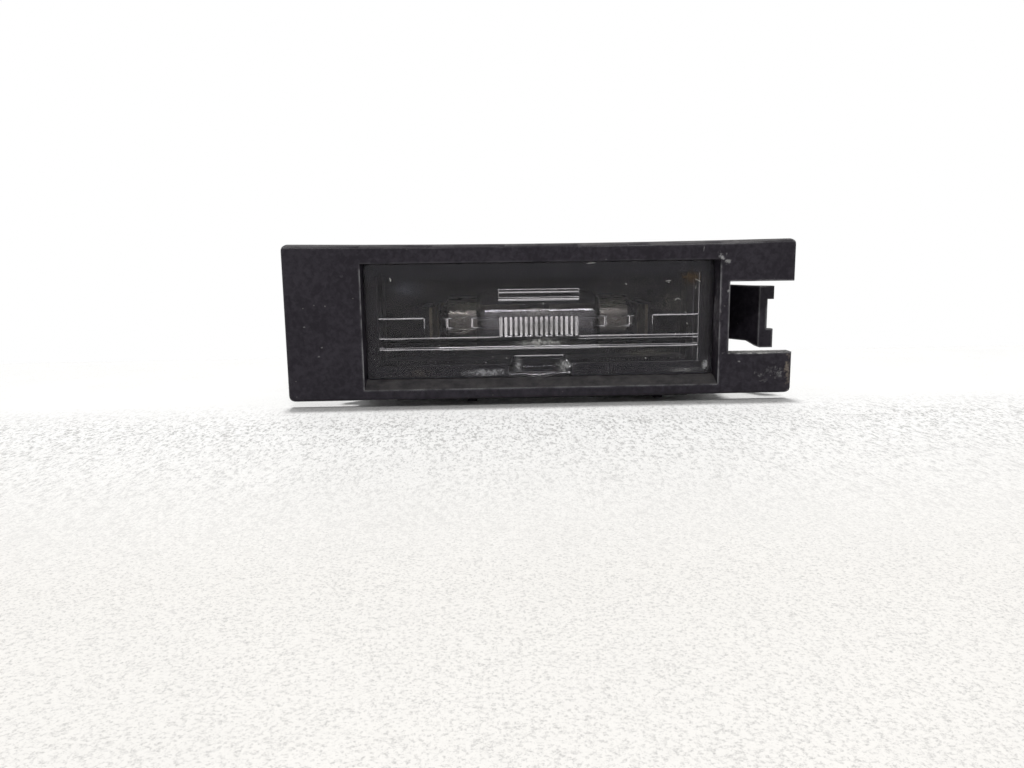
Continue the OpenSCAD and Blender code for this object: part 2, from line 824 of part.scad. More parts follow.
module contact_left() {
    mirror([1, 0, 0]) contact();
}

module contact_right() {
    contact();
}

// Outline of the glass tube, shrunk by an inset for its inside
neck_dia = cap_dia - 2*cap_t - 2*tip_gap;
cap_start = bulb_l/2 - cap_l;
shoulder_l = (glass_dia - neck_dia)/2 + cap_t;
neck_end = bulb_l/2 - cap_cone_l - cap_t;
function shoulder(t, inset, way) = [
    neck_dia/2 - inset + (glass_dia - neck_dia)/2*(1 + cos(180*t))/2,
    way*(cap_start - shoulder_l + shoulder_l*t)];
module glass_profile(inset, extra) {
    steps = 8;
    polygon(concat(
        [[0, -neck_end - extra], [neck_dia/2 - inset, -neck_end - extra]],
        [for (i = [steps:-1:0]) shoulder(i/steps, inset, -1)],
        [for (i = [0:steps]) shoulder(i/steps, inset, 1)],
        [[neck_dia/2 - inset, neck_end + extra], [0, neck_end + extra]]));
}

module bulb_glass() {
    color([0.85, 0.87, 0.9, 0.35]) difference() {
        turned_along_x(0) glass_profile(0, 0);
        turned_along_x(0) glass_profile(glass_t, over);
    }
}

// Metal cap of the bulb: a cup with a cone and a small hole for the lead
module bulb_cap() {
    cone_x = bulb_l/2 - cap_cone_l;
    color([0.7, 0.69, 0.66]) turned_along_x(0) polygon([
        [cap_dia/2, cap_start],
        [cap_dia/2, cone_x],
        [cap_tip_dia/2, bulb_l/2],
        [lead_dia/2 + tip_gap, bulb_l/2],
        [lead_dia/2 + tip_gap, bulb_l/2 - cap_t],
        [cap_tip_dia/2 - cap_t/2, bulb_l/2 - cap_t],
        [cap_dia/2 - cap_t, cone_x - cap_t/2],
        [cap_dia/2 - cap_t, cap_start]]);
}

module bulb_cap_left() {
    mirror([1, 0, 0]) bulb_cap();
}

module bulb_cap_right() {
    bulb_cap();
}

// Filament with the waists between its turns
module bulb_filament() {
    pitch = filament_l/filament_turns;
    color([0.35, 0.34, 0.34]) turned_along_x(0) polygon(concat(
        [[0, -filament_l/2]],
        [for (i = [0:filament_turns - 1], half = [0, 1])
            [filament_dia/2*(half == 0 ? 0.75 : 1), -filament_l/2 + (i + half/2)*pitch]],
        [[filament_dia/2*0.75, filament_l/2], [0, filament_l/2]]));
}

module bulb_lead() {
    color([0.6, 0.6, 0.58]) turned_along_x(0) translate([0, filament_l/2])
        square([lead_dia/2, bulb_l/2 - filament_l/2]);
}

module bulb_lead_left() {
    mirror([1, 0, 0]) bulb_lead();
}

module bulb_lead_right() {
    bulb_lead();
}

// Drop of solder on the tip of a cap
module bulb_solder() {
    r = crown_r(cap_tip_dia*0.85, solder_h);
    color([0.62, 0.62, 0.64]) intersection() {
        translate([bulb_l/2 + solder_h - r, bulb_y, bulb_z]) sphere(r);
        block([bulb_l/2, bulb_y - r, bulb_z - r], [bulb_l/2 + 2*r, bulb_y + r, bulb_z + r]);
    }
}

module bulb_solder_left() {
    mirror([1, 0, 0]) bulb_solder();
}

module bulb_solder_right() {
    bulb_solder();
}

housing();
lens();
bulb_holder();
holder_gasket();
contact_left();
contact_right();
bulb_glass();
bulb_cap_left();
bulb_cap_right();
bulb_filament();
bulb_lead_left();
bulb_lead_right();
bulb_solder_left();
bulb_solder_right();
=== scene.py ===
# Number plate lamp, dressed for the photograph: camera, floor, light, finishes and the finer pieces
import math

import bmesh
import bpy
import numpy as np
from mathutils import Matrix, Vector


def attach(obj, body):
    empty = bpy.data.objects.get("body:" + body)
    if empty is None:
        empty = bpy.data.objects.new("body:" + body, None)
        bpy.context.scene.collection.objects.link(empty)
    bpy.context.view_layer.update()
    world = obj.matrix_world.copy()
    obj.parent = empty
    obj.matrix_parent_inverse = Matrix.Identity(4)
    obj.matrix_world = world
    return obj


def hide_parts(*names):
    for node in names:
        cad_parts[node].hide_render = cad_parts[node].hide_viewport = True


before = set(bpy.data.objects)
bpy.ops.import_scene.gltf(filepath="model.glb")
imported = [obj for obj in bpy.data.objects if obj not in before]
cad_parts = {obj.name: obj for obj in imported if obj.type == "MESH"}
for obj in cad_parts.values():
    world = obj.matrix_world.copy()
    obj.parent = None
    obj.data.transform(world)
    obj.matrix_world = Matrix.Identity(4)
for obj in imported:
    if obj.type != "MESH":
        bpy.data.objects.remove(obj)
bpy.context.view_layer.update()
scene = bpy.context.scene
scene.view_settings.view_transform = "Standard"
mm = 0.001
print("frame loaded:", len(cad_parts), "nodes")


cameraSetup = {
    "place": (-10.06, -135.72, 11.63),  # mm
    "turn": (80.5, 0.74, -2.246),  # degrees
    "lens": 28.125, "sensor": 36,  # mm
    "nearest": 0.005,  # m
}


def addPiece(name, data):
    piece = bpy.data.objects.new(name, data)
    scene.collection.objects.link(piece)
    return piece


def makeCamera(s):
    data = bpy.data.cameras.new("camera")
    data.lens = s["lens"]
    data.sensor_width = s["sensor"]
    data.clip_start = s["nearest"]
    camera = addPiece("camera", data)
    camera.location = [v * mm for v in s["place"]]
    camera.rotation_euler = [math.radians(v) for v in s["turn"]]
    scene.camera = camera


makeCamera(cameraSetup)
print("camera placed")


# helpers for node trees
def setInputs(tree, node, inputs):  # links a socket, or sets a plain value
    for key, value in inputs.items():
        if isinstance(value, bpy.types.NodeSocket):
            tree.links.new(value, node.inputs[key])
        else:
            node.inputs[key].default_value = value


def addNode(tree, kind, inputs=None, **settings):
    node = tree.nodes.new(kind)
    for key, value in settings.items():
        setattr(node, key, value)
    setInputs(tree, node, inputs or {})
    return node


def doMath(tree, operation, a, b=0.0, clamp=False):
    return addNode(tree, "ShaderNodeMath", {0: a, 1: b}, operation=operation, use_clamp=clamp).outputs[0]


def times(tree, a, b):
    return doMath(tree, "MULTIPLY", a, b)


def vectorMath(tree, operation, a, b=(0.0, 0.0, 0.0), output="Vector"):
    return addNode(tree, "ShaderNodeVectorMath", {0: a, 1: b}, operation=operation).outputs[output]


def scaled(tree, vector, amount):
    return addNode(tree, "ShaderNodeVectorMath", {0: vector, "Scale": amount}, operation="SCALE").outputs[0]


def mapped(tree, value, low, high, toLow=0.0, toHigh=1.0, smooth=False):
    return addNode(tree, "ShaderNodeMapRange", {0: value, 1: low, 2: high, 3: toLow, 4: toHigh},
                   interpolation_type="SMOOTHSTEP" if smooth else "LINEAR").outputs[0]


def mixColour(tree, factor, a, b):
    return addNode(tree, "ShaderNodeMix", {0: factor, 6: a, 7: b}, data_type="RGBA").outputs[2]


def noise(tree, vector, scale, detail=3.0, rough=0.55, distortion=0.0, output="Fac"):
    return addNode(tree, "ShaderNodeTexNoise",
                   {"Vector": vector, "Scale": scale, "Detail": detail, "Roughness": rough,
                    "Distortion": distortion}).outputs[output]


def bump(tree, height, strength, distance):
    return addNode(tree, "ShaderNodeBump",
                   {"Strength": strength, "Distance": distance, "Height": height}).outputs[0]


def objectPlace(tree):
    return addNode(tree, "ShaderNodeTexCoord").outputs["Object"]


def axis(tree, vector, name):
    return addNode(tree, "ShaderNodeSeparateXYZ", {0: vector}).outputs[name]


def newGroup(name, inputs, outputs):  # a tuple makes a vector input, a number a plain one
    group = bpy.data.node_groups.new(name, "ShaderNodeTree")
    for label, value in inputs.items():
        kind = "NodeSocketVector" if isinstance(value, tuple) else "NodeSocketFloat"
        group.interface.new_socket(label, in_out="INPUT", socket_type=kind).default_value = value
    for label in outputs:
        group.interface.new_socket(label, in_out="OUTPUT", socket_type="NodeSocketFloat")
    return group, group.nodes.new("NodeGroupInput").outputs, group.nodes.new("NodeGroupOutput")


def useGroup(tree, group, inputs):
    return addNode(tree, "ShaderNodeGroup", inputs, node_tree=group).outputs


def newMaterial(name):
    material = bpy.data.materials.new(name)
    material.use_nodes = True
    tree = material.node_tree
    return material, tree, tree.nodes["Principled BSDF"]


# effects that several materials share; a noise is given as scale, detail, roughness and distortion
grainLook = {
    "size": 0.00025,  # m
    "fine": (2.0, 0.6),  # its scale comes from the size
    "broad": (130.0, 4.0, 0.6, 0.4), "broadShare": 0.3,
    "close": (1100.0, 4.0, 0.65, 0.3), "closeShare": 0.7,
}


def makeGrain(s):  # fine spark-eroded texture of a moulding, and the cloudiness of its colour
    group, given, result = newGroup("mouldGrain", {"Size": s["size"]}, ["Height", "Cloud"])
    place = objectPlace(group)
    fine = noise(group, place, doMath(group, "DIVIDE", 1.0, given["Size"]), *s["fine"])
    broad = times(group, noise(group, place, *s["broad"]), s["broadShare"])
    close = times(group, noise(group, place, *s["close"]), s["closeShare"])
    setInputs(group, result, {"Height": fine, "Cloud": doMath(group, "ADD", broad, close)})
    return group


edgeWearAndHighlightLook = {
    "width": 0.0004, "patch": 160.0, "cover": 0.5,
    "turned": (0.99, 0.86),  # cosine between the rounded normal and the face's own
    "nearby": 0.0012, "openness": (0.72, 0.92),  # tells an outer edge from an inner corner
    "patches": (5.0, 0.65, 0.3), "patchFade": 0.22,
    "samples": 6,
}


def makeEdgeWearAndHighlight(s):  # rubbed outer edges, lightened as wear and as painted edge highlight
    group, given, result = newGroup("edgeWearAndHighlight", {
        "Width": s["width"], "Patch": s["patch"], "Cover": s["cover"]}, ["Mask"])
    soft = addNode(group, "ShaderNodeBevel", {"Radius": given["Width"]}, samples=s["samples"]).outputs[0]
    hard = addNode(group, "ShaderNodeNewGeometry").outputs["Normal"]
    turned = mapped(group, vectorMath(group, "DOT_PRODUCT", soft, hard, "Value"), *s["turned"])
    around = addNode(group, "ShaderNodeAmbientOcclusion", {"Distance": s["nearby"]},
                     samples=s["samples"]).outputs["AO"]
    convex = mapped(group, around, *s["openness"])
    patchy = noise(group, objectPlace(group), given["Patch"], *s["patches"])
    low = doMath(group, "SUBTRACT", 1.0, given["Cover"])
    picked = mapped(group, patchy, low, doMath(group, "ADD", low, s["patchFade"]))
    setInputs(group, result, {"Mask": times(group, times(group, turned, convex), picked)})
    return group


dustAndTopLightLook = {
    "topDustAndLight": 0.5, "specks": 0.5,
    "faceUp": (0.25, 0.95),  # upward part of the normal
    "cloud": (420.0, 6.0, 0.7), "cloudRange": (0.2, 0.85),
    "swirl": (5000.0, 2.0, 0.5), "shift": 0.00035,  # makes the specks ragged
    "cells": 1100.0, "radius": (0.05, 0.16), "core": 0.5, "rare": (0.9, 0.92),
}


def makeDustAndTopLight(s):  # lighter colour on faces turned up, dust and painted top light together, with single specks of dust everywhere
    group, given, result = newGroup("dustAndTopLight", {"TopDustAndLight": s["topDustAndLight"], "Specks": s["specks"]}, ["Mask"])
    place = objectPlace(group)
    up = axis(group, addNode(group, "ShaderNodeNewGeometry").outputs["Normal"], "Z")
    topDustAndLight = times(group, mapped(group, up, *s["faceUp"]), given["TopDustAndLight"])
    film = times(group, topDustAndLight, mapped(group, noise(group, place, *s["cloud"]), *s["cloudRange"]))
    shift = scaled(group, noise(group, place, *s["swirl"], output="Color"), s["shift"])
    bent = vectorMath(group, "ADD", place, shift)
    cells = addNode(group, "ShaderNodeTexVoronoi", {"Vector": bent, "Scale": s["cells"]}).outputs
    pick = addNode(group, "ShaderNodeSeparateColor", {0: cells["Color"]}).outputs
    radius = mapped(group, pick[1], 0.0, 1.0, *s["radius"])
    near = mapped(group, cells["Distance"], radius, times(group, radius, s["core"]))
    rare = mapped(group, pick[0], *s["rare"])
    specks = times(group, times(group, near, rare), given["Specks"])
    setInputs(group, result, {"Mask": doMath(group, "MAXIMUM", film, specks, clamp=True)})
    return group


patchLook = {
    "reach": (0.003, 0.003, 0.003), "streaks": (1.0, 1.0, 1.0), "cover": 0.5, "ragged": 2.4, "soft": 0.5,
    "swirl": (1300.0, 4.0, 0.7), "swirlMean": (0.5, 0.5, 0.5),
    "outer": 1.1,  # where the patch ends, as a share of its reach
    "grain": (1500.0, 4.0, 0.7, 0.2),
}


def makePatchMask(s):  # one patch with streaks, round a point of the surface: used for rubbed scuffs, dirt and painted light
    group, given, result = newGroup("wearDirtAndLightPatch", {
        "Middle": (0.0, 0.0, 0.0), "Reach": s["reach"], "Streaks": s["streaks"], "Cover": s["cover"],
        "Ragged": s["ragged"], "Soft": s["soft"]}, ["Mask"])
    place = objectPlace(group)
    share = vectorMath(group, "DIVIDE", vectorMath(group, "SUBTRACT", place, given["Middle"]), given["Reach"])
    swirl = noise(group, place, *s["swirl"], output="Color")
    push = scaled(group, vectorMath(group, "SUBTRACT", swirl, s["swirlMean"]), given["Ragged"])
    far = vectorMath(group, "LENGTH", vectorMath(group, "ADD", push, share), output="Value")
    falloff = mapped(group, far, s["outer"], 0.0, smooth=True)
    streaks = noise(group, vectorMath(group, "MULTIPLY", place, given["Streaks"]), *s["grain"])
    low = doMath(group, "SUBTRACT", 1.0, times(group, given["Cover"], falloff))
    picked = mapped(group, streaks, low, doMath(group, "ADD", low, given["Soft"]))
    setInputs(group, result, {"Mask": times(group, picked, falloff)})
    return group


grainGroup = makeGrain(grainLook)
edgeWearAndHighlightGroup = makeEdgeWearAndHighlight(edgeWearAndHighlightLook)
dustAndTopLightGroup = makeDustAndTopLight(dustAndTopLightLook)
patchGroup = makePatchMask(patchLook)


def patchMask(tree, mark, edge=None):  # mark holds middle and reach in mm, streaks and cover
    middle, reach, streaks, cover = mark
    return useGroup(tree, patchGroup, {
        "Middle": [v * mm for v in middle], "Reach": [v * mm for v in reach],
        "Streaks": streaks, "Cover": cover, **(edge or {})})["Mask"]


housingPlastic = {
    "colour": (0.0125, 0.01, 0.015, 1), "cloudColour": (0.028, 0.0245, 0.032, 1), "clouds": (0.42, 0.6),
    "grainSize": 0.00028, "bump": (0.35, 0.00004),
    "roughClouds": (0.38, 0.65), "rough": (0.5, 0.6), "scuffRough": 0.2, "gloss": 0.165,
    # outer edges turn lighter: rubbed wear together with painted edge highlight
    "wearAndHighlight": {"Width": 0.0006, "Patch": 260.0, "Cover": 0.66}, "wornAndHighlight": 0.75, "wornAndHighlightColour": (0.3, 0.3, 0.31, 1),
    "sparedEdge": 0.0097, "sparedRange": (0.0006, 0.0011), "sparedWearAndHighlight": 0.15,  # window's upper edge, in m, where the wear and painted edge highlight are kept faint
    # faces turned up, the window's sill most of all, turn lighter: dust and painted top light
    "dustAndTopLight": {"TopDustAndLight": 0.6, "Specks": 0.5}, "dustAndTopLightShare": 0.6, "dustAndTopLightColour": (0.36, 0.35, 0.33, 1),
    "scuffsAndPaintedLight": [  # middle and reach in mm, streaks, cover, strength, tint
        ((30.1, -3, 10.2), (1.3, 1.6, 1.3), (1.0, 1.0, 0.7), 0.95, 0.9, (0.42, 0.42, 0.43, 1)),
        ((30.9, -3, 9.3), (1.4, 1.6, 0.7), (0.5, 1.0, 1.0), 0.9, 0.8, (0.4, 0.4, 0.4, 1)),
        ((29.4, -3, 8.7), (0.6, 1.6, 1.4), (1.0, 1.0, 0.4), 0.95, 0.85, (0.42, 0.42, 0.42, 1)),
        ((31.2, -3, 4.35), (0.45, 1.6, 0.6), (1.0, 1.0, 1.0), 0.95, 0.8, (0.5, 0.5, 0.5, 1)),
        ((26.9, -3, 11.4), (0.25, 1.0, 0.9), (1.0, 1.0, 0.3), 0.9, 0.5, (0.4, 0.4, 0.4, 1)),
        ((33.4, -3, -7.4), (0.45, 1.2, 0.45), (1.0, 1.0, 1.0), 0.95, 0.6, (0.42, 0.42, 0.42, 1)),
        ((36.3, -3, -9.5), (0.5, 1.4, 1.5), (1.0, 1.0, 0.4), 0.8, 0.6, (0.4, 0.4, 0.4, 1)),
        ((37.2, -3, -9.9), (1.4, 1.4, 0.6), (0.5, 1.0, 1.0), 0.75, 0.5, (0.4, 0.4, 0.4, 1)),
        ((38.4, -3, -9.0), (3.6, 1.4, 2.4), (0.8, 1.0, 0.8), 0.62, 0.4, (0.34, 0.34, 0.34, 1)),
        ((40.2, -3, -9.6), (2.4, 1.4, 2.2), (0.9, 1.0, 1.1), 0.8, 0.6, (0.36, 0.36, 0.36, 1)),
        ((37.9, -3, -10.7), (1.6, 1.2, 0.9), (0.7, 1.0, 1.0), 0.66, 0.4, (0.36, 0.36, 0.36, 1)),
        # a lighter brownish strip along the lower arm's right end
        ((41.75, -3, -9.4), (0.9, 1.6, 5.0), (1.0, 1.0, 0.3), 0.95, 0.7, (0.26, 0.22, 0.18, 1)),
        ((37.0, -1.6, -6.0), (9.0, 6.0, 0.32), (0.5, 1.0, 1.0), 1.3, 0.8, (0.6, 0.59, 0.57, 1)),
        # painted light on the window's right wall, as if lit from the left, with mottled wear in it
        ((29.8, -1.4, 0.5), (0.7, 4.0, 13.0), (1.5, 1.5, 0.3), 1.1, 0.8, (0.15, 0.14, 0.155, 1)),
        ((29.7, -0.3, 1.5), (0.6, 0.7, 5.0), (1.0, 1.0, 0.3), 1.1, 0.7, (0.4, 0.4, 0.4, 1)),
        ((-39.3, -3, -0.4), (0.5, 1.0, 0.4), (1.0, 1.0, 1.0), 0.9, 0.55, (0.4, 0.4, 0.4, 1)),
        ((-37.1, -3, -5.4), (0.6, 1.0, 0.45), (1.0, 1.0, 1.0), 0.85, 0.45, (0.4, 0.4, 0.4, 1)),
        ((-36.5, -3, -3.9), (0.35, 1.0, 0.35), (1.0, 1.0, 1.0), 0.9, 0.45, (0.4, 0.4, 0.4, 1)),
        ((-33.0, -3, 8.0), (3.0, 1.0, 2.0), (0.4, 1.0, 1.0), 0.55, 0.3, (0.3, 0.3, 0.32, 1)),
    ],
}
holderPlastic = {
    **housingPlastic, "colour": (0.011, 0.011, 0.012, 1), "grainSize": 0.0004,
    "wearAndHighlight": {"Width": 0.0006, "Patch": 260.0, "Cover": 0.45}, "wornAndHighlight": 0.45, "scuffsAndPaintedLight": [],
}


def makeBlackPlastic(name, s):
    material, tree, shader = newMaterial(name)
    grain = useGroup(tree, grainGroup, {"Size": s["grainSize"]})
    colour = mixColour(tree, mapped(tree, grain["Cloud"], *s["clouds"]), s["colour"], s["cloudColour"])
    height = axis(tree, objectPlace(tree), "Z")
    away = doMath(tree, "ABSOLUTE", doMath(tree, "SUBTRACT", height, s["sparedEdge"]))
    kept = mapped(tree, away, *s["sparedRange"], s["sparedWearAndHighlight"], 1.0)
    wearAndHighlight = times(tree, useGroup(tree, edgeWearAndHighlightGroup, s["wearAndHighlight"])["Mask"], kept)
    colour = mixColour(tree, times(tree, wearAndHighlight, s["wornAndHighlight"]), colour, s["wornAndHighlightColour"])
    rough = mapped(tree, grain["Cloud"], *s["roughClouds"], *s["rough"])
    for *mark, strength, tint in s["scuffsAndPaintedLight"]:
        mask = patchMask(tree, mark)
        colour = mixColour(tree, times(tree, mask, strength), colour, tint)
        rough = doMath(tree, "ADD", rough, times(tree, mask, s["scuffRough"]), clamp=True)
    dustAndTopLight = useGroup(tree, dustAndTopLightGroup, s["dustAndTopLight"])["Mask"]
    colour = mixColour(tree, times(tree, dustAndTopLight, s["dustAndTopLightShare"]), colour, s["dustAndTopLightColour"])
    setInputs(tree, shader, {
        "Base Color": colour, "Roughness": rough, "Specular IOR Level": s["gloss"],
        "Normal": bump(tree, grain["Height"], *s["bump"])})
    return material


gasketRubber = {
    "colour": (0.018, 0.018, 0.019, 1), "cloudColour": (0.034, 0.034, 0.034, 1), "clouds": (0.3, 0.7),
    "dustAndTopLight": {"TopDustAndLight": 0.3, "Specks": 0.6}, "dustAndTopLightShare": 0.7, "dustAndTopLightColour": (0.3, 0.29, 0.27, 1),
    "grainSize": 0.0005, "bump": (0.4, 0.00005), "rough": 0.85, "gloss": 0.25,
}


def makeRubber(name, s):
    material, tree, shader = newMaterial(name)
    grain = useGroup(tree, grainGroup, {"Size": s["grainSize"]})
    colour = mixColour(tree, mapped(tree, grain["Cloud"], *s["clouds"]), s["colour"], s["cloudColour"])
    dustAndTopLight = useGroup(tree, dustAndTopLightGroup, s["dustAndTopLight"])["Mask"]
    setInputs(tree, shader, {
        "Base Color": mixColour(tree, times(tree, dustAndTopLight, s["dustAndTopLightShare"]), colour, s["dustAndTopLightColour"]),
        "Roughness": s["rough"], "Specular IOR Level": s["gloss"],
        "Normal": bump(tree, grain["Height"], *s["bump"])})
    return material


metalLook = {  # what all the metals share
    "drawn": (1.0, 1.0, 1.0), "brushed": (2600.0, 3.0, 0.6), "brushedRange": (0.3, 0.7),
    "cloud": (420.0, 5.0, 0.65, 0.5), "cloudRange": (0.48, 0.7), "tarnish": 0.5, "tarnishRough": 0.25,
    "bump": (0.12, 0.00002),
}
contactMetal = {**metalLook, "colour": (0.16, 0.14, 0.1, 1), "dull": (0.05, 0.044, 0.034, 1),
                "rough": (0.4, 0.55), "drawn": (1.0, 1.0, 0.15), "tarnish": 0.9}
capNickel = {**metalLook, "colour": (0.22, 0.21, 0.18, 1), "dull": (0.12, 0.115, 0.1, 1),
             "rough": (0.2, 0.34), "drawn": (0.12, 1.0, 1.0)}
wireMetal = {**metalLook, "colour": (0.5, 0.49, 0.47, 1), "dull": (0.2, 0.2, 0.2, 1), "rough": (0.3, 0.45)}
solderTin = {**metalLook, "colour": (0.62, 0.62, 0.64, 1), "dull": (0.3, 0.3, 0.3, 1),
             "rough": (0.3, 0.5), "tarnish": 0.8}


def makeMetal(name, s):
    material, tree, shader = newMaterial(name)
    place = objectPlace(tree)
    brushed = noise(tree, vectorMath(tree, "MULTIPLY", place, s["drawn"]), *s["brushed"])
    cloud = mapped(tree, noise(tree, place, *s["cloud"]), *s["cloudRange"])
    tarnish = times(tree, cloud, s["tarnish"])
    rough = mapped(tree, brushed, *s["brushedRange"], *s["rough"])
    setInputs(tree, shader, {
        "Base Color": mixColour(tree, tarnish, s["colour"], s["dull"]),
        "Roughness": doMath(tree, "ADD", rough, times(tree, tarnish, s["tarnishRough"]), clamp=True),
        "Normal": bump(tree, brushed, *s["bump"]), "Metallic": 1.0})
    return material


clearLens = {
    "tint": (0.56, 0.545, 0.575, 1), "ior": 1.58, "mirror": (0.3, 0.3, 0.32, 1),
    "film": (260.0, 5.0, 0.6, 0.6), "filmRange": (0.45, 0.8), "rough": (0.0, 0.02),
}
bulbGlass = {**clearLens, "tint": (0.97, 0.97, 0.96, 1), "ior": 1.8, "mirror": (1, 1, 1, 1), "rough": (0.0, 0.01)}


def makeClear(name, s):
    material, tree, shader = newMaterial(name)
    film = noise(tree, objectPlace(tree), *s["film"])
    setInputs(tree, shader, {
        "Roughness": mapped(tree, film, *s["filmRange"], *s["rough"]), "Base Color": s["tint"],
        "IOR": s["ior"], "Transmission Weight": 1.0, "Specular Tint": s["mirror"]})
    return material


contactMaterial = makeMetal("contactMetal", contactMetal)
capMaterial = makeMetal("capNickel", capNickel)
wireMaterial = makeMetal("wire", wireMetal)
solderMaterial = makeMetal("solder", solderTin)
lensMaterial = makeClear("clearLens", clearLens)
nodeMaterials = {
    "housing": makeBlackPlastic("housingPlastic", housingPlastic),
    "bulb_holder": makeBlackPlastic("holderPlastic", holderPlastic),
    "holder_gasket": makeRubber("gasketRubber", gasketRubber),
    "contact_left": contactMaterial, "contact_right": contactMaterial,
    "bulb_glass": makeClear("bulbGlass", bulbGlass),
    "bulb_cap_left": capMaterial, "bulb_cap_right": capMaterial,
    "bulb_filament": wireMaterial, "bulb_lead_left": wireMaterial, "bulb_lead_right": wireMaterial,
    "bulb_solder_left": solderMaterial, "bulb_solder_right": solderMaterial,
    "lens": lensMaterial,
}
for node, material in nodeMaterials.items():
    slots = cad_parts[node].data.materials
    slots.clear()
    slots.append(material)
print("materials made and given to", len(nodeMaterials), "nodes")


def addMesh(name, points, faces, material):  # points in mm
    mesh = bpy.data.meshes.new(name)
    mesh.from_pydata((np.array(points) * mm).tolist(), [], faces)
    mesh.materials.append(material)
    return addPiece(name, mesh)


# the lens with the fine edges of its optics, in mm and in the frame of the part's source
lensShape = {
    "half": 29.65, "low": -9.85, "high": 9.55, "thick": 1.97,
    "easedEdge": 0.12, "easedSteps": ((1, 0), (0.3, 0.3), (0, 1)),  # depth and inset, as shares of the eased edge
    "smoothAngle": 28,  # degrees
    "rimHalf": 27.55, "rimLow": -7.75, "rimHigh": 7.45, "rimWall": 0.8, "rimDepth": 0.6,
    "shift": -0.2,
    "fluteHalf": 6.2, "flutePitch": 1.75, "fluteFoot": 0.74, "fluteTop": 0.17, "fluteRise": 0.57,
    "hipSlope": 4.0, "hipStart": 0.05,  # lower ends of the flutes
    "fieldLow": -2.95, "fieldHigh": 0.3, "fieldStep": 0.1,
    "barMiddle": -4.1, "barHeight": 1.4, "barRise": 0.22, "barHalf": 27.0,
    "padFrom": 19.54, "padHigh": 0.46, "padRise": 0.25,
    "brackets": (11.63, 15.9), "bracketLow": -1.62, "bracketHigh": 0.4, "bracketLength": 3.1, "bracketRise": 0.3,
    "catchTop": 4.4, "catchFoot": 5.4, "catchLean": 2.1, "catchHigh": -6.33, "catchGap": 0.3, "catchRise": 1.0,
    "pocketHalf": 2.85, "pocketHigh": -7.0, "pocketRamp": 1.6, "pocketFloor": 0.4,
    "ridgeSoft": 0.12, "ridgeFlank": 1.02,  # soft top as a share of the half width, and slope of the flanks
}
lensRidges = [  # roof-shaped lines on the inner face, both sides alike: x0, z0, x1, z1, half width at each end
    (19.7, 0.3, 27.6, 0.3, 0.13, 0.1), (19.7, 0.3, 19.7, -1.4, 0.13, 0.07),
    (7.0, -3.12, 27.6, -3.12, 0.13, 0.11), (0.0, -4.72, 27.6, -4.72, 0.06, 0.06),
    (0.0, -5.1, 27.6, -5.1, 0.18, 0.16),
    (15.72, 0.22, 15.72, -1.43, 0.15, 0.15), (15.72, 0.22, 13.6, 0.22, 0.13, 0.02),
    (15.72, -1.43, 13.3, -1.43, 0.15, 0.02), (15.72, 0.22, 17.6, 0.22, 0.09, 0.03),
    (11.45, 0.22, 11.45, -1.43, 0.14, 0.14), (11.45, 0.22, 8.9, 0.22, 0.12, 0.02),
    (11.45, -1.43, 8.7, -1.43, 0.14, 0.02),
    (0.0, 5.0, 6.85, 5.0, 0.05, 0.05), (0.0, 4.51, 6.85, 4.51, 0.12, 0.12),
    (0.0, 3.64, 6.85, 3.64, 0.05, 0.05), (0.0, 3.24, 6.85, 3.24, 0.18, 0.18), (6.9, 3.2, 6.9, 5.0, 0.03, 0.03),
    (0.0, -6.5, 4.3, -6.5, 0.11, 0.11), (4.3, -6.5, 5.3, -8.6, 0.08, 0.03),
    (0.0, -9.68, 2.1, -9.68, 0.04, 0.03),
    (6.55, -2.95, 6.55, 0.25, 0.28, 0.28), (6.2, -7.85, 27.6, -7.85, 0.025, 0.025),
    (0.0, -3.07, 0.66, -3.07, 0.07, 0.07), (1.09, -3.07, 2.41, -3.07, 0.07, 0.07),
    (2.84, -3.07, 4.16, -3.07, 0.07, 0.07), (4.59, -3.07, 5.91, -3.07, 0.07, 0.07),
]
lensRightRidges = [(27.62, -7.83, 27.62, 7.5, 0.045, 0.045), (6.8, -3.62, 27.6, -3.62, 0.11, 0.11)]
lensGrid = {  # mm between grid lines, close only where the form needs it
    "coarseX": 1.2, "bandsX": [(-7.15, 7.15, 0.0795)],
    "coarseZ": 0.6, "bandsZ": [(-4.95, -3.2, 0.075), (-3.1, -2.3, 0.06)],
    "closest": 0.014, "stepReach": 0.05,
    "shares": (-1.5, -1, -0.5, -0.25, 0, 0.25, 0.5, 1, 1.5),  # lines beside a mark, as shares of its reach
}


def gridLines(low, high, coarse, bands, marks, s):
    values = set(np.linspace(low, high, int((high - low) / coarse) + 1))
    for mark, reach in marks:
        values.update(mark + reach * share for share in s["shares"])
    for start, stop, step in bands:
        values.update(np.arange(start, stop + step / 2, step))
    kept = [low]
    for value in sorted(values):
        if kept[-1] + s["closest"] < value < high - s["closest"]:
            kept.append(value)
    return np.array(kept + [high])


def roof(distance, half, s):  # a ridge with flanks near 45 degrees and a slightly soft top
    return np.maximum(half - np.sqrt(distance * distance + (s["ridgeSoft"] * half) ** 2) * s["ridgeFlank"], 0)


def segmentDistance(x, z, x0, z0, x1, z1):
    dx, dz = x1 - x0, z1 - z0
    t = np.clip(((x - x0) * dx + (z - z0) * dz) / (dx * dx + dz * dz), 0, 1)
    return np.hypot(x - x0 - t * dx, z - z0 - t * dz), t


def raised(h, where, level):
    return np.where(where, np.maximum(h, level), h)


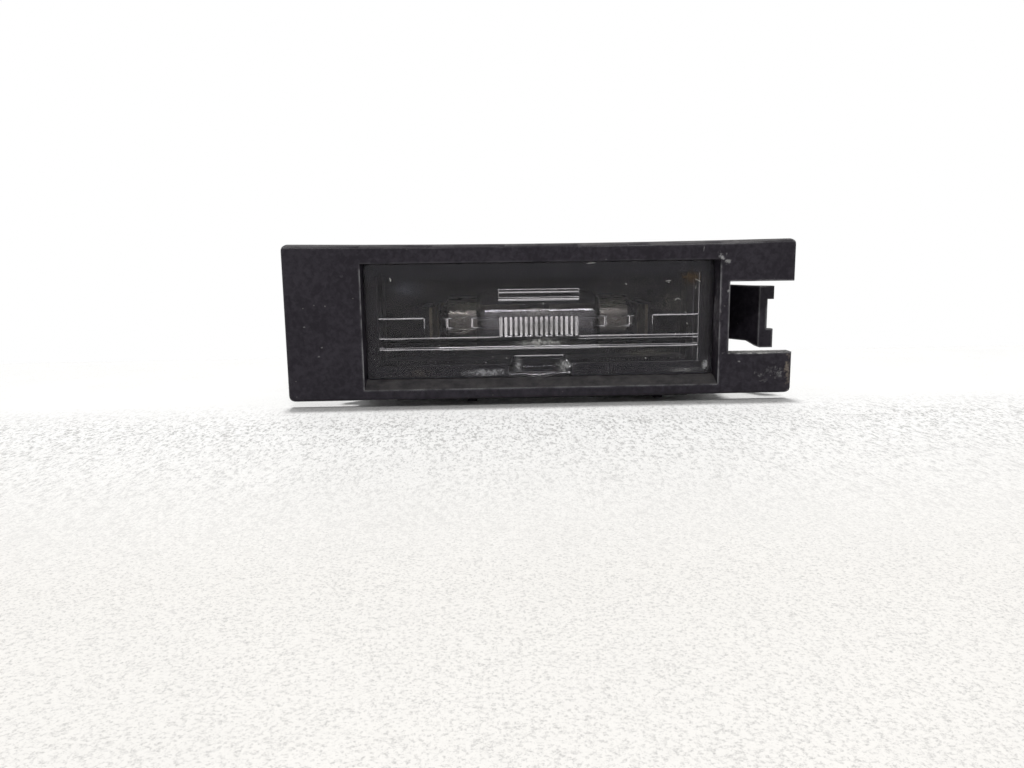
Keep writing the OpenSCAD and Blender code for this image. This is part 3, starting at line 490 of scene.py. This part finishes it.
def lensHeight(x, z, s, ridges, rightRidges):  # how far the inner face stands above the plate
    x = x - s["shift"]
    ax = np.abs(x)
    h = np.zeros_like(x)

    offset = np.abs((x / s["flutePitch"] - np.round(x / s["flutePitch"])) * s["flutePitch"])
    slope = s["fluteRise"] / (s["fluteFoot"] - s["fluteTop"])
    flank = np.clip((s["fluteFoot"] - offset) * slope, 0, s["fluteRise"])
    hip = np.clip((z - s["fieldLow"]) * s["hipSlope"], 0, s["fluteRise"])
    inField = (ax < s["fluteHalf"]) & (z > s["fieldLow"]) & (z < s["fieldHigh"])
    h = raised(h, inField, s["fieldStep"] + np.minimum(flank, hip + s["hipStart"]))

    off = (z - s["barMiddle"]) / (s["barHeight"] / 2)
    crown = s["barRise"] * np.cos(np.clip(off, -1, 1) * math.pi / 2) ** 2
    h = raised(h, (np.abs(off) < 1) & (ax < s["barHalf"]), crown)
    inPad = (ax > s["padFrom"]) & (ax < s["barHalf"]) & (z > s["fieldLow"]) & (z < s["padHigh"])
    h = raised(h, inPad, s["padRise"])
    for edge in s["brackets"]:
        rise = (ax - edge + s["bracketLength"]) / s["bracketLength"]
        here = (rise > 0) & (rise < 1) & (z < s["bracketHigh"]) & (z > s["bracketLow"])
        h = raised(h, here, rise * s["bracketRise"])

    side = s["catchTop"] + (s["catchFoot"] - s["catchTop"]) * (s["catchHigh"] - z) / s["catchLean"]
    block = (z < s["catchHigh"]) & (z > s["low"] + s["catchGap"]) & (ax < np.minimum(side, s["catchFoot"]))
    pocket = (ax < s["pocketHalf"]) & (z < s["pocketHigh"])
    sunk = np.clip((s["pocketHigh"] - z) / s["pocketRamp"], 0, 1) * (s["catchRise"] - s["pocketFloor"])
    h = np.where(block, s["catchRise"] - np.where(pocket, sunk, 0), h)

    added = np.zeros_like(h)
    for across, lines in ((ax, ridges), (x, rightRidges)):
        for x0, z0, x1, z1, r0, r1 in lines:
            distance, t = segmentDistance(across, z, x0, z0, x1, z1)
            added = np.maximum(added, roof(distance, r0 + (r1 - r0) * t, s))
    wall = s["rimWall"]
    outer = (ax < s["rimHalf"]) & (z < s["rimHigh"]) & (z > s["rimLow"])
    inner = (ax < s["rimHalf"] - wall) & (z < s["rimHigh"] - wall) & (z > s["rimLow"] + wall)
    return np.where(outer & ~inner & ~(block & pocket), np.maximum(h, s["rimDepth"]), h) + added


def lensMarks(s, ridges, reach):  # places across and up the lens where its form turns sharply
    insets = (0, s["rimWall"])
    marksX = {(s["rimHalf"] + turn * s["shift"] - inset, reach) for turn in (-1, 1) for inset in insets}
    marksZ = {(z, reach) for inset in insets for z in (s["rimHigh"] - inset, s["rimLow"] + inset)}
    for x0, z0, x1, z1, r0, r1 in ridges:
        if x0 == x1 and x0 > s["fluteHalf"]:
            marksX.update(((x0 + s["shift"], max(r0, r1)), (x0 - s["shift"], max(r0, r1))))
        if z0 == z1:
            marksZ.add((z0, max(r0, r1)))
    return marksX | {(-mark, reach) for mark, reach in marksX}, marksZ


def makeLens(s, ridges, rightRidges, grid, material):
    marksX, marksZ = lensMarks(s, ridges + rightRidges, grid["stepReach"])
    xs = gridLines(-s["half"], s["half"], grid["coarseX"], grid["bandsX"], marksX, grid)
    zs = gridLines(s["low"], s["high"], grid["coarseZ"], grid["bandsZ"], marksZ, grid)
    gx, gz = np.meshgrid(xs, zs, indexing="ij")
    gy = s["thick"] + lensHeight(gx, gz, s, ridges, rightRidges)
    points = np.stack([gx, gy, gz], axis=-1).reshape(-1, 3)
    index = np.arange(gx.size).reshape(gx.shape)
    quads = np.stack([index[:-1, :-1], index[:-1, 1:], index[1:, 1:], index[1:, :-1]], axis=-1)
    faces = [tuple(quad) for quad in quads.reshape(-1, 4).tolist()]

    border = list(index[:, 0]) + list(index[-1, 1:]) + list(index[-2::-1, -1]) + list(index[0, -2:0:-1])
    loops = [border]
    eased = s["easedEdge"]
    for depth, inset in s["easedSteps"]:  # side walls with an eased front edge
        ring = points[border].copy()
        ring[:, 1] = depth * eased
        ring[:, 0] = np.clip(ring[:, 0], -s["half"] + inset * eased, s["half"] - inset * eased)
        ring[:, 2] = np.clip(ring[:, 2], s["low"] + inset * eased, s["high"] - inset * eased)
        loops.append(list(range(len(points), len(points) + len(border))))
        points = np.vstack([points, ring])
    count = len(border)
    for a, b in zip(loops, loops[1:]):
        faces += [(a[i], a[(i + 1) % count], b[(i + 1) % count], b[i]) for i in range(count)]
    faces.append(tuple(loops[-1]))

    piece = addMesh("lensClear", points, faces, material)
    mesh = piece.data
    work = bmesh.new()
    work.from_mesh(mesh)
    bmesh.ops.recalc_face_normals(work, faces=work.faces)
    work.to_mesh(mesh)
    work.free()
    mesh.shade_smooth()
    mesh.set_sharp_from_angle(angle=math.radians(s["smoothAngle"]))
    mesh.polygons[-1].use_smooth = False  # the wide front face stays flat
    return piece


lens = makeLens(lensShape, lensRidges, lensRightRidges, lensGrid, lensMaterial)
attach(lens, "root")
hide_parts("lens")
print("lens:", len(lens.data.polygons), "faces")


# film of dirt and painted light on the lens's outer face, and the hairs, scratches and flecks on it
lensDirtAndLight = {
    "half": 29.6, "low": -9.8, "high": 9.5, "y": -0.012,
    "haze": (300.0, 6.0, 0.7, 0.8), "hazeRange": (0.42, 0.8), "hazeCover": (0.004, 0.03),
    "hazeColour": (0.55, 0.53, 0.5, 1),
    "edge": {"Ragged": 1.4, "Soft": 0.6}, "tintFrom": 0.05,  # cover at which a patch has its own colour
    "specks": {"TopDustAndLight": 0.0, "Specks": 0.8}, "speckColour": (0.8, 0.79, 0.76, 1),
    "rough": 0.9,
    "patches": [  # middle and reach in mm, streaks, cover, strength, colour
        # a dark grey veil that dims the bright lines of the flutes
        ((0.0, 0, -1.35), (13.0, 1, 3.6), (4.0, 1, 0.3), 1.0, 0.5, (0.2, 0.2, 0.19, 1)),
        ((-9.6, 0, -8.95), (8.5, 1, 1.3), (0.4, 1, 1.2), 1.0, 0.75, (0.46, 0.46, 0.48, 1)),
        ((-3.9, 0, -7.9), (1.5, 1, 2.7), (1, 1, 1), 0.95, 0.75, (0.5, 0.5, 0.51, 1)),
        ((4.1, 0, -8.0), (2.8, 1, 2.8), (1, 1, 1), 0.95, 0.75, (0.52, 0.52, 0.52, 1)),
        ((24.4, 0, -9.1), (6.5, 1, 1.1), (0.4, 1, 1.2), 0.9, 0.55, (0.5, 0.5, 0.5, 1)),
        ((28.5, 0, -8.2), (1.5, 1, 2.4), (1, 1, 0.7), 1.0, 0.8, (0.52, 0.52, 0.52, 1)),
        ((25.6, 0, 6.8), (3.6, 1, 2.4), (1, 1, 1), 0.95, 0.6, (0.2, 0.135, 0.075, 1)),
        ((-21.0, 0, -8.9), (6.0, 1, 1.5), (0.5, 1, 1), 0.8, 0.3, (0.4, 0.36, 0.3, 1)),
        ((-22.5, 0, 5.4), (7.0, 1, 4.0), (0.8, 1, 0.8), 0.8, 0.2, (0.4, 0.42, 0.5, 1)),
        # painted reflection of the bulb's caps: pale olive bands left and right of the middle
        ((-12.5, 0, 2.4), (9.0, 1, 2.2), (0.8, 1, 0.8), 0.9, 0.16, (0.5, 0.49, 0.42, 1)),
        ((12.0, 0, 2.4), (7.0, 1, 2.2), (0.8, 1, 0.8), 0.9, 0.16, (0.5, 0.49, 0.42, 1)),
        ((22.5, 0, 2.5), (8.0, 1, 6.0), (1, 1, 1), 0.8, 0.14, (0.5, 0.48, 0.42, 1)),
        ((18.5, 0, -6.0), (12.0, 1, 1.6), (0.5, 1, 1), 0.85, 0.18, (0.5, 0.48, 0.4, 1)),
        ((0.0, 0, -4.0), (9.0, 1, 1.6), (1.5, 1, 1.5), 0.98, 0.7, (0.55, 0.55, 0.53, 1)),
        # painted light round the bulb's middle, between its highlight line and the flutes
        ((-1.0, 0, 1.3), (8.0, 1, 1.7), (1, 1, 1), 0.95, 0.38, (0.5, 0.47, 0.44, 1)),
    ],
}
lensStrokes = {
    "y": -0.016, "bulge": 0.6, "widths": (0.3, 1.0, 0.25),  # at the start, the middle and the end
    "colour": (0.7, 0.7, 0.68, 1), "breaks": (4000.0, 2.0), "breakRange": (0.3, 0.6), "cover": (0.3, 0.85),
    "rough": 0.9,
    "strokes": [  # x0, z0, x1, z1, width in mm
        (-25.32, 7.32, -25.15, 6.65, 0.2), (22.95, 2.76, 23.34, 3.24, 0.1), (23.34, 3.24, 23.96, 2.87, 0.08),
        (21.26, 6.1, 22.27, 6.17, 0.1), (21.67, 5.9, 22.07, 5.93, 0.08), (24.74, 0.85, 25.03, 0.6, 0.12),
        (24.98, -1.01, 25.27, -1.3, 0.12), (23.27, -2.77, 22.87, -3.17, 0.1), (25.11, -3.13, 25.64, -2.73, 0.1),
        (-8.3, -6.2, -8.22, -6.41, 0.14), (-5.96, -6.49, -5.84, -6.73, 0.16), (-9.48, -7.16, -9.45, -7.4, 0.12),
        (7.78, 9.25, 9.38, 9.35, 0.12), (14.42, 5.88, 14.62, 5.56, 0.1), (26.31, 6.43, 27.33, 5.9, 0.1),
        (26.54, 5.31, 26.43, 4.71, 0.08), (17.94, -6.92, 18.15, -7.09, 0.14), (0.37, 2.83, 0.45, 2.43, 0.14),
    ],
}


def makeLensDirtAndLight(s):
    material, tree, shader = newMaterial("dirtAndLightFilm")
    haze = noise(tree, objectPlace(tree), *s["haze"])
    colour, cover = s["hazeColour"], mapped(tree, haze, *s["hazeRange"], *s["hazeCover"])
    for *mark, strength, tint in s["patches"]:
        mask = times(tree, strength, patchMask(tree, mark, s["edge"]))
        colour = mixColour(tree, mapped(tree, mask, 0.0, s["tintFrom"]), colour, tint)
        cover = doMath(tree, "MAXIMUM", cover, mask)
    specks = useGroup(tree, dustAndTopLightGroup, s["specks"])["Mask"]
    setInputs(tree, shader, {
        "Base Color": mixColour(tree, specks, colour, s["speckColour"]),
        "Alpha": doMath(tree, "MAXIMUM", cover, specks, clamp=True),
        "Roughness": s["rough"], "Specular IOR Level": 0.0})
    corners = [(-s["half"], s["low"]), (s["half"], s["low"]), (s["half"], s["high"]), (-s["half"], s["high"])]
    return addMesh("lensDirtAndLight", [(x, s["y"], z) for x, z in corners], [(0, 1, 2, 3)], material)


def makeStrokes(s):  # thin flat marks just outside the film
    points, faces = [], []
    for x0, z0, x1, z1, width in s["strokes"]:
        start, end = Vector((x0, z0)), Vector((x1, z1))
        along = (end - start).normalized()
        side = Vector((-along.y, along.x)) * width / 2
        middle = (start + end) / 2 + side * s["bulge"]
        first = len(points)
        for place, share in zip((start, middle, end), s["widths"]):
            for turn in (-1, 1):
                spot = place + side * share * turn
                points.append((spot.x, s["y"], spot.y))
        faces += [(first, first + 1, first + 3, first + 2), (first + 2, first + 3, first + 5, first + 4)]
    material, tree, shader = newMaterial("paleScratch")
    breaks = noise(tree, objectPlace(tree), *s["breaks"])
    setInputs(tree, shader, {
        "Alpha": mapped(tree, breaks, *s["breakRange"], *s["cover"]), "Base Color": s["colour"],
        "Roughness": s["rough"], "Specular IOR Level": 0.0})
    return addMesh("lensStrokes", points, faces, material)


for piece in (makeLensDirtAndLight(lensDirtAndLight), makeStrokes(lensStrokes)):
    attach(piece, "root")
print("dirt film and", len(lensStrokes["strokes"]), "strokes laid on the lens")


# the filament as a real coil, in mm
filamentCoil = {
    "y": 10.0, "z": -0.775, "length": 13.0, "dia": 0.7, "turns": 26, "wire": 0.09, "sag": 0.25,
    "stepsPerTurn": 14, "taper": 12,  # the coil narrows over one twelfth of its length at each end
}


def makeFilament(s, material):
    curve = bpy.data.curves.new("filamentCoil", "CURVE")
    curve.dimensions = "3D"
    curve.bevel_depth = s["wire"] * mm
    curve.bevel_resolution = 1
    spline = curve.splines.new("POLY")
    steps = s["turns"] * s["stepsPerTurn"]
    spline.points.add(steps)
    for i in range(steps + 1):
        t = i / steps
        angle = 2 * math.pi * s["turns"] * t
        radius = (s["dia"] / 2 - s["wire"]) * min(1, s["taper"] * t, s["taper"] * (1 - t))
        drop = s["sag"] * (1 - (2 * t - 1) ** 2)
        spline.points[i].co = ((t - 0.5) * s["length"] * mm, (s["y"] + radius * math.cos(angle)) * mm,
                               (s["z"] - drop + radius * math.sin(angle)) * mm, 1)
    curve.materials.append(material)
    return addPiece("filamentCoil", curve)


filament = makeFilament(filamentCoil, wireMaterial)
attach(filament, "root")
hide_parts("bulb_filament")
print("filament:", filamentCoil["turns"], "turns")


tableFloor = {
    "z": -14.4, "back": 65, "front": -600, "side": 900,  # mm
    "colour": (0.926, 0.923, 0.912, 1), "nearColour": (0.8, 0.782, 0.752, 1), "away": (-0.075, -0.02),  # m
    "grainColour": (0.34, 0.333, 0.325, 1),
    "grains": (4200.0, 3.0, 0.7), "grainRange": (0.48, 0.74), "grainStrength": (0.8, 0.3),
    "strip": (0.005, -0.015),  # m, the coarser grain ends under the lamp
    "drawn": (1.0, 0.4, 1.0), "coarse": (2400.0, 3.0, 0.75),
    "coarseRange": (0.48, 0.62), "coarseStrength": (0.05, 0.9),
    "cloud": (60.0, 3.0, 0.5), "cloudRange": (0.3, 0.7),
    "cloudStrength": 0.12, "cloudColour": (0.66, 0.65, 0.63, 1),
    "bump": (0.3, 0.0001), "rough": 0.6,
}


def makeFloor(s):
    material, tree, shader = newMaterial("paleTable")
    place = objectPlace(tree)
    depth = axis(tree, place, "Y")
    away = mapped(tree, depth, *s["away"])
    strip = times(tree, away, mapped(tree, depth, *s["strip"]))
    grains = noise(tree, place, *s["grains"])
    near = times(tree, mapped(tree, grains, *s["grainRange"]), mapped(tree, away, 0.0, 1.0, *s["grainStrength"]))
    coarse = mapped(tree, noise(tree, vectorMath(tree, "MULTIPLY", place, s["drawn"]), *s["coarse"]),
                    *s["coarseRange"])
    coarse = times(tree, coarse, mapped(tree, strip, 0.0, 1.0, *s["coarseStrength"]))
    dark = doMath(tree, "MAXIMUM", near, coarse, clamp=True)
    colour = mixColour(tree, dark, mixColour(tree, away, s["nearColour"], s["colour"]), s["grainColour"])
    cloud = mapped(tree, noise(tree, place, *s["cloud"]), *s["cloudRange"], 0.0, s["cloudStrength"])
    setInputs(tree, shader, {
        "Base Color": mixColour(tree, cloud, colour, s["cloudColour"]), "Roughness": s["rough"],
        "Normal": bump(tree, grains, *s["bump"])})
    corners = [(-s["side"], s["front"]), (s["side"], s["front"]), (s["side"], s["back"]), (-s["side"], s["back"])]
    return addMesh("floor", [(x, y, s["z"]) for x, y in corners], [(0, 1, 2, 3)], material)


makeFloor(tableFloor)
print("floor laid")


roomLight = {
    "front": 0.2, "behind": 0.28, "turnOver": (-0.5, 0.5),  # level of the room before the lamp and behind it
    "seen": 1.0,  # level that the camera, gloss and glass see
}
lampSetup = {  # place in mm, size in m
    "overhead": {"place": (-20, 100, 1500), "size": (0.13, 0.13), "level": 310.0},
    "strip": {"place": (22, -420, 370), "size": (0.142, 0.065), "level": 34.0},
}


def makeWorld(s):
    world = bpy.data.worlds.new("studio")
    scene.world = world
    world.use_nodes = True
    tree = world.node_tree
    direction = addNode(tree, "ShaderNodeTexCoord").outputs["Generated"]
    level = mapped(tree, axis(tree, direction, "Y"), *s["turnOver"], s["front"], s["behind"], smooth=True)
    ray = addNode(tree, "ShaderNodeLightPath").outputs
    glossOrGlass = doMath(tree, "MAXIMUM", ray["Is Glossy Ray"], ray["Is Transmission Ray"])
    seen = doMath(tree, "MAXIMUM", ray["Is Camera Ray"], glossOrGlass)
    strength = addNode(tree, "ShaderNodeMix", {0: seen, 2: level, 3: s["seen"]}, data_type="FLOAT").outputs[0]
    setInputs(tree, tree.nodes["Background"], {"Strength": strength, "Color": (1, 1, 1, 1)})


def makeLamp(name, s):  # an area lamp that looks at the part's origin
    data = bpy.data.lights.new(name, "AREA")
    data.shape = "RECTANGLE"
    data.size, data.size_y = s["size"]
    data.energy = s["level"] * math.pi * data.size * data.size_y
    lamp = addPiece(name, data)
    lamp.location = [v * mm for v in s["place"]]
    lamp.rotation_euler = (-lamp.location).to_track_quat("-Z", "Y").to_euler()


makeWorld(roomLight)
for name, setup in lampSetup.items():
    makeLamp(name, setup)
print("light set")
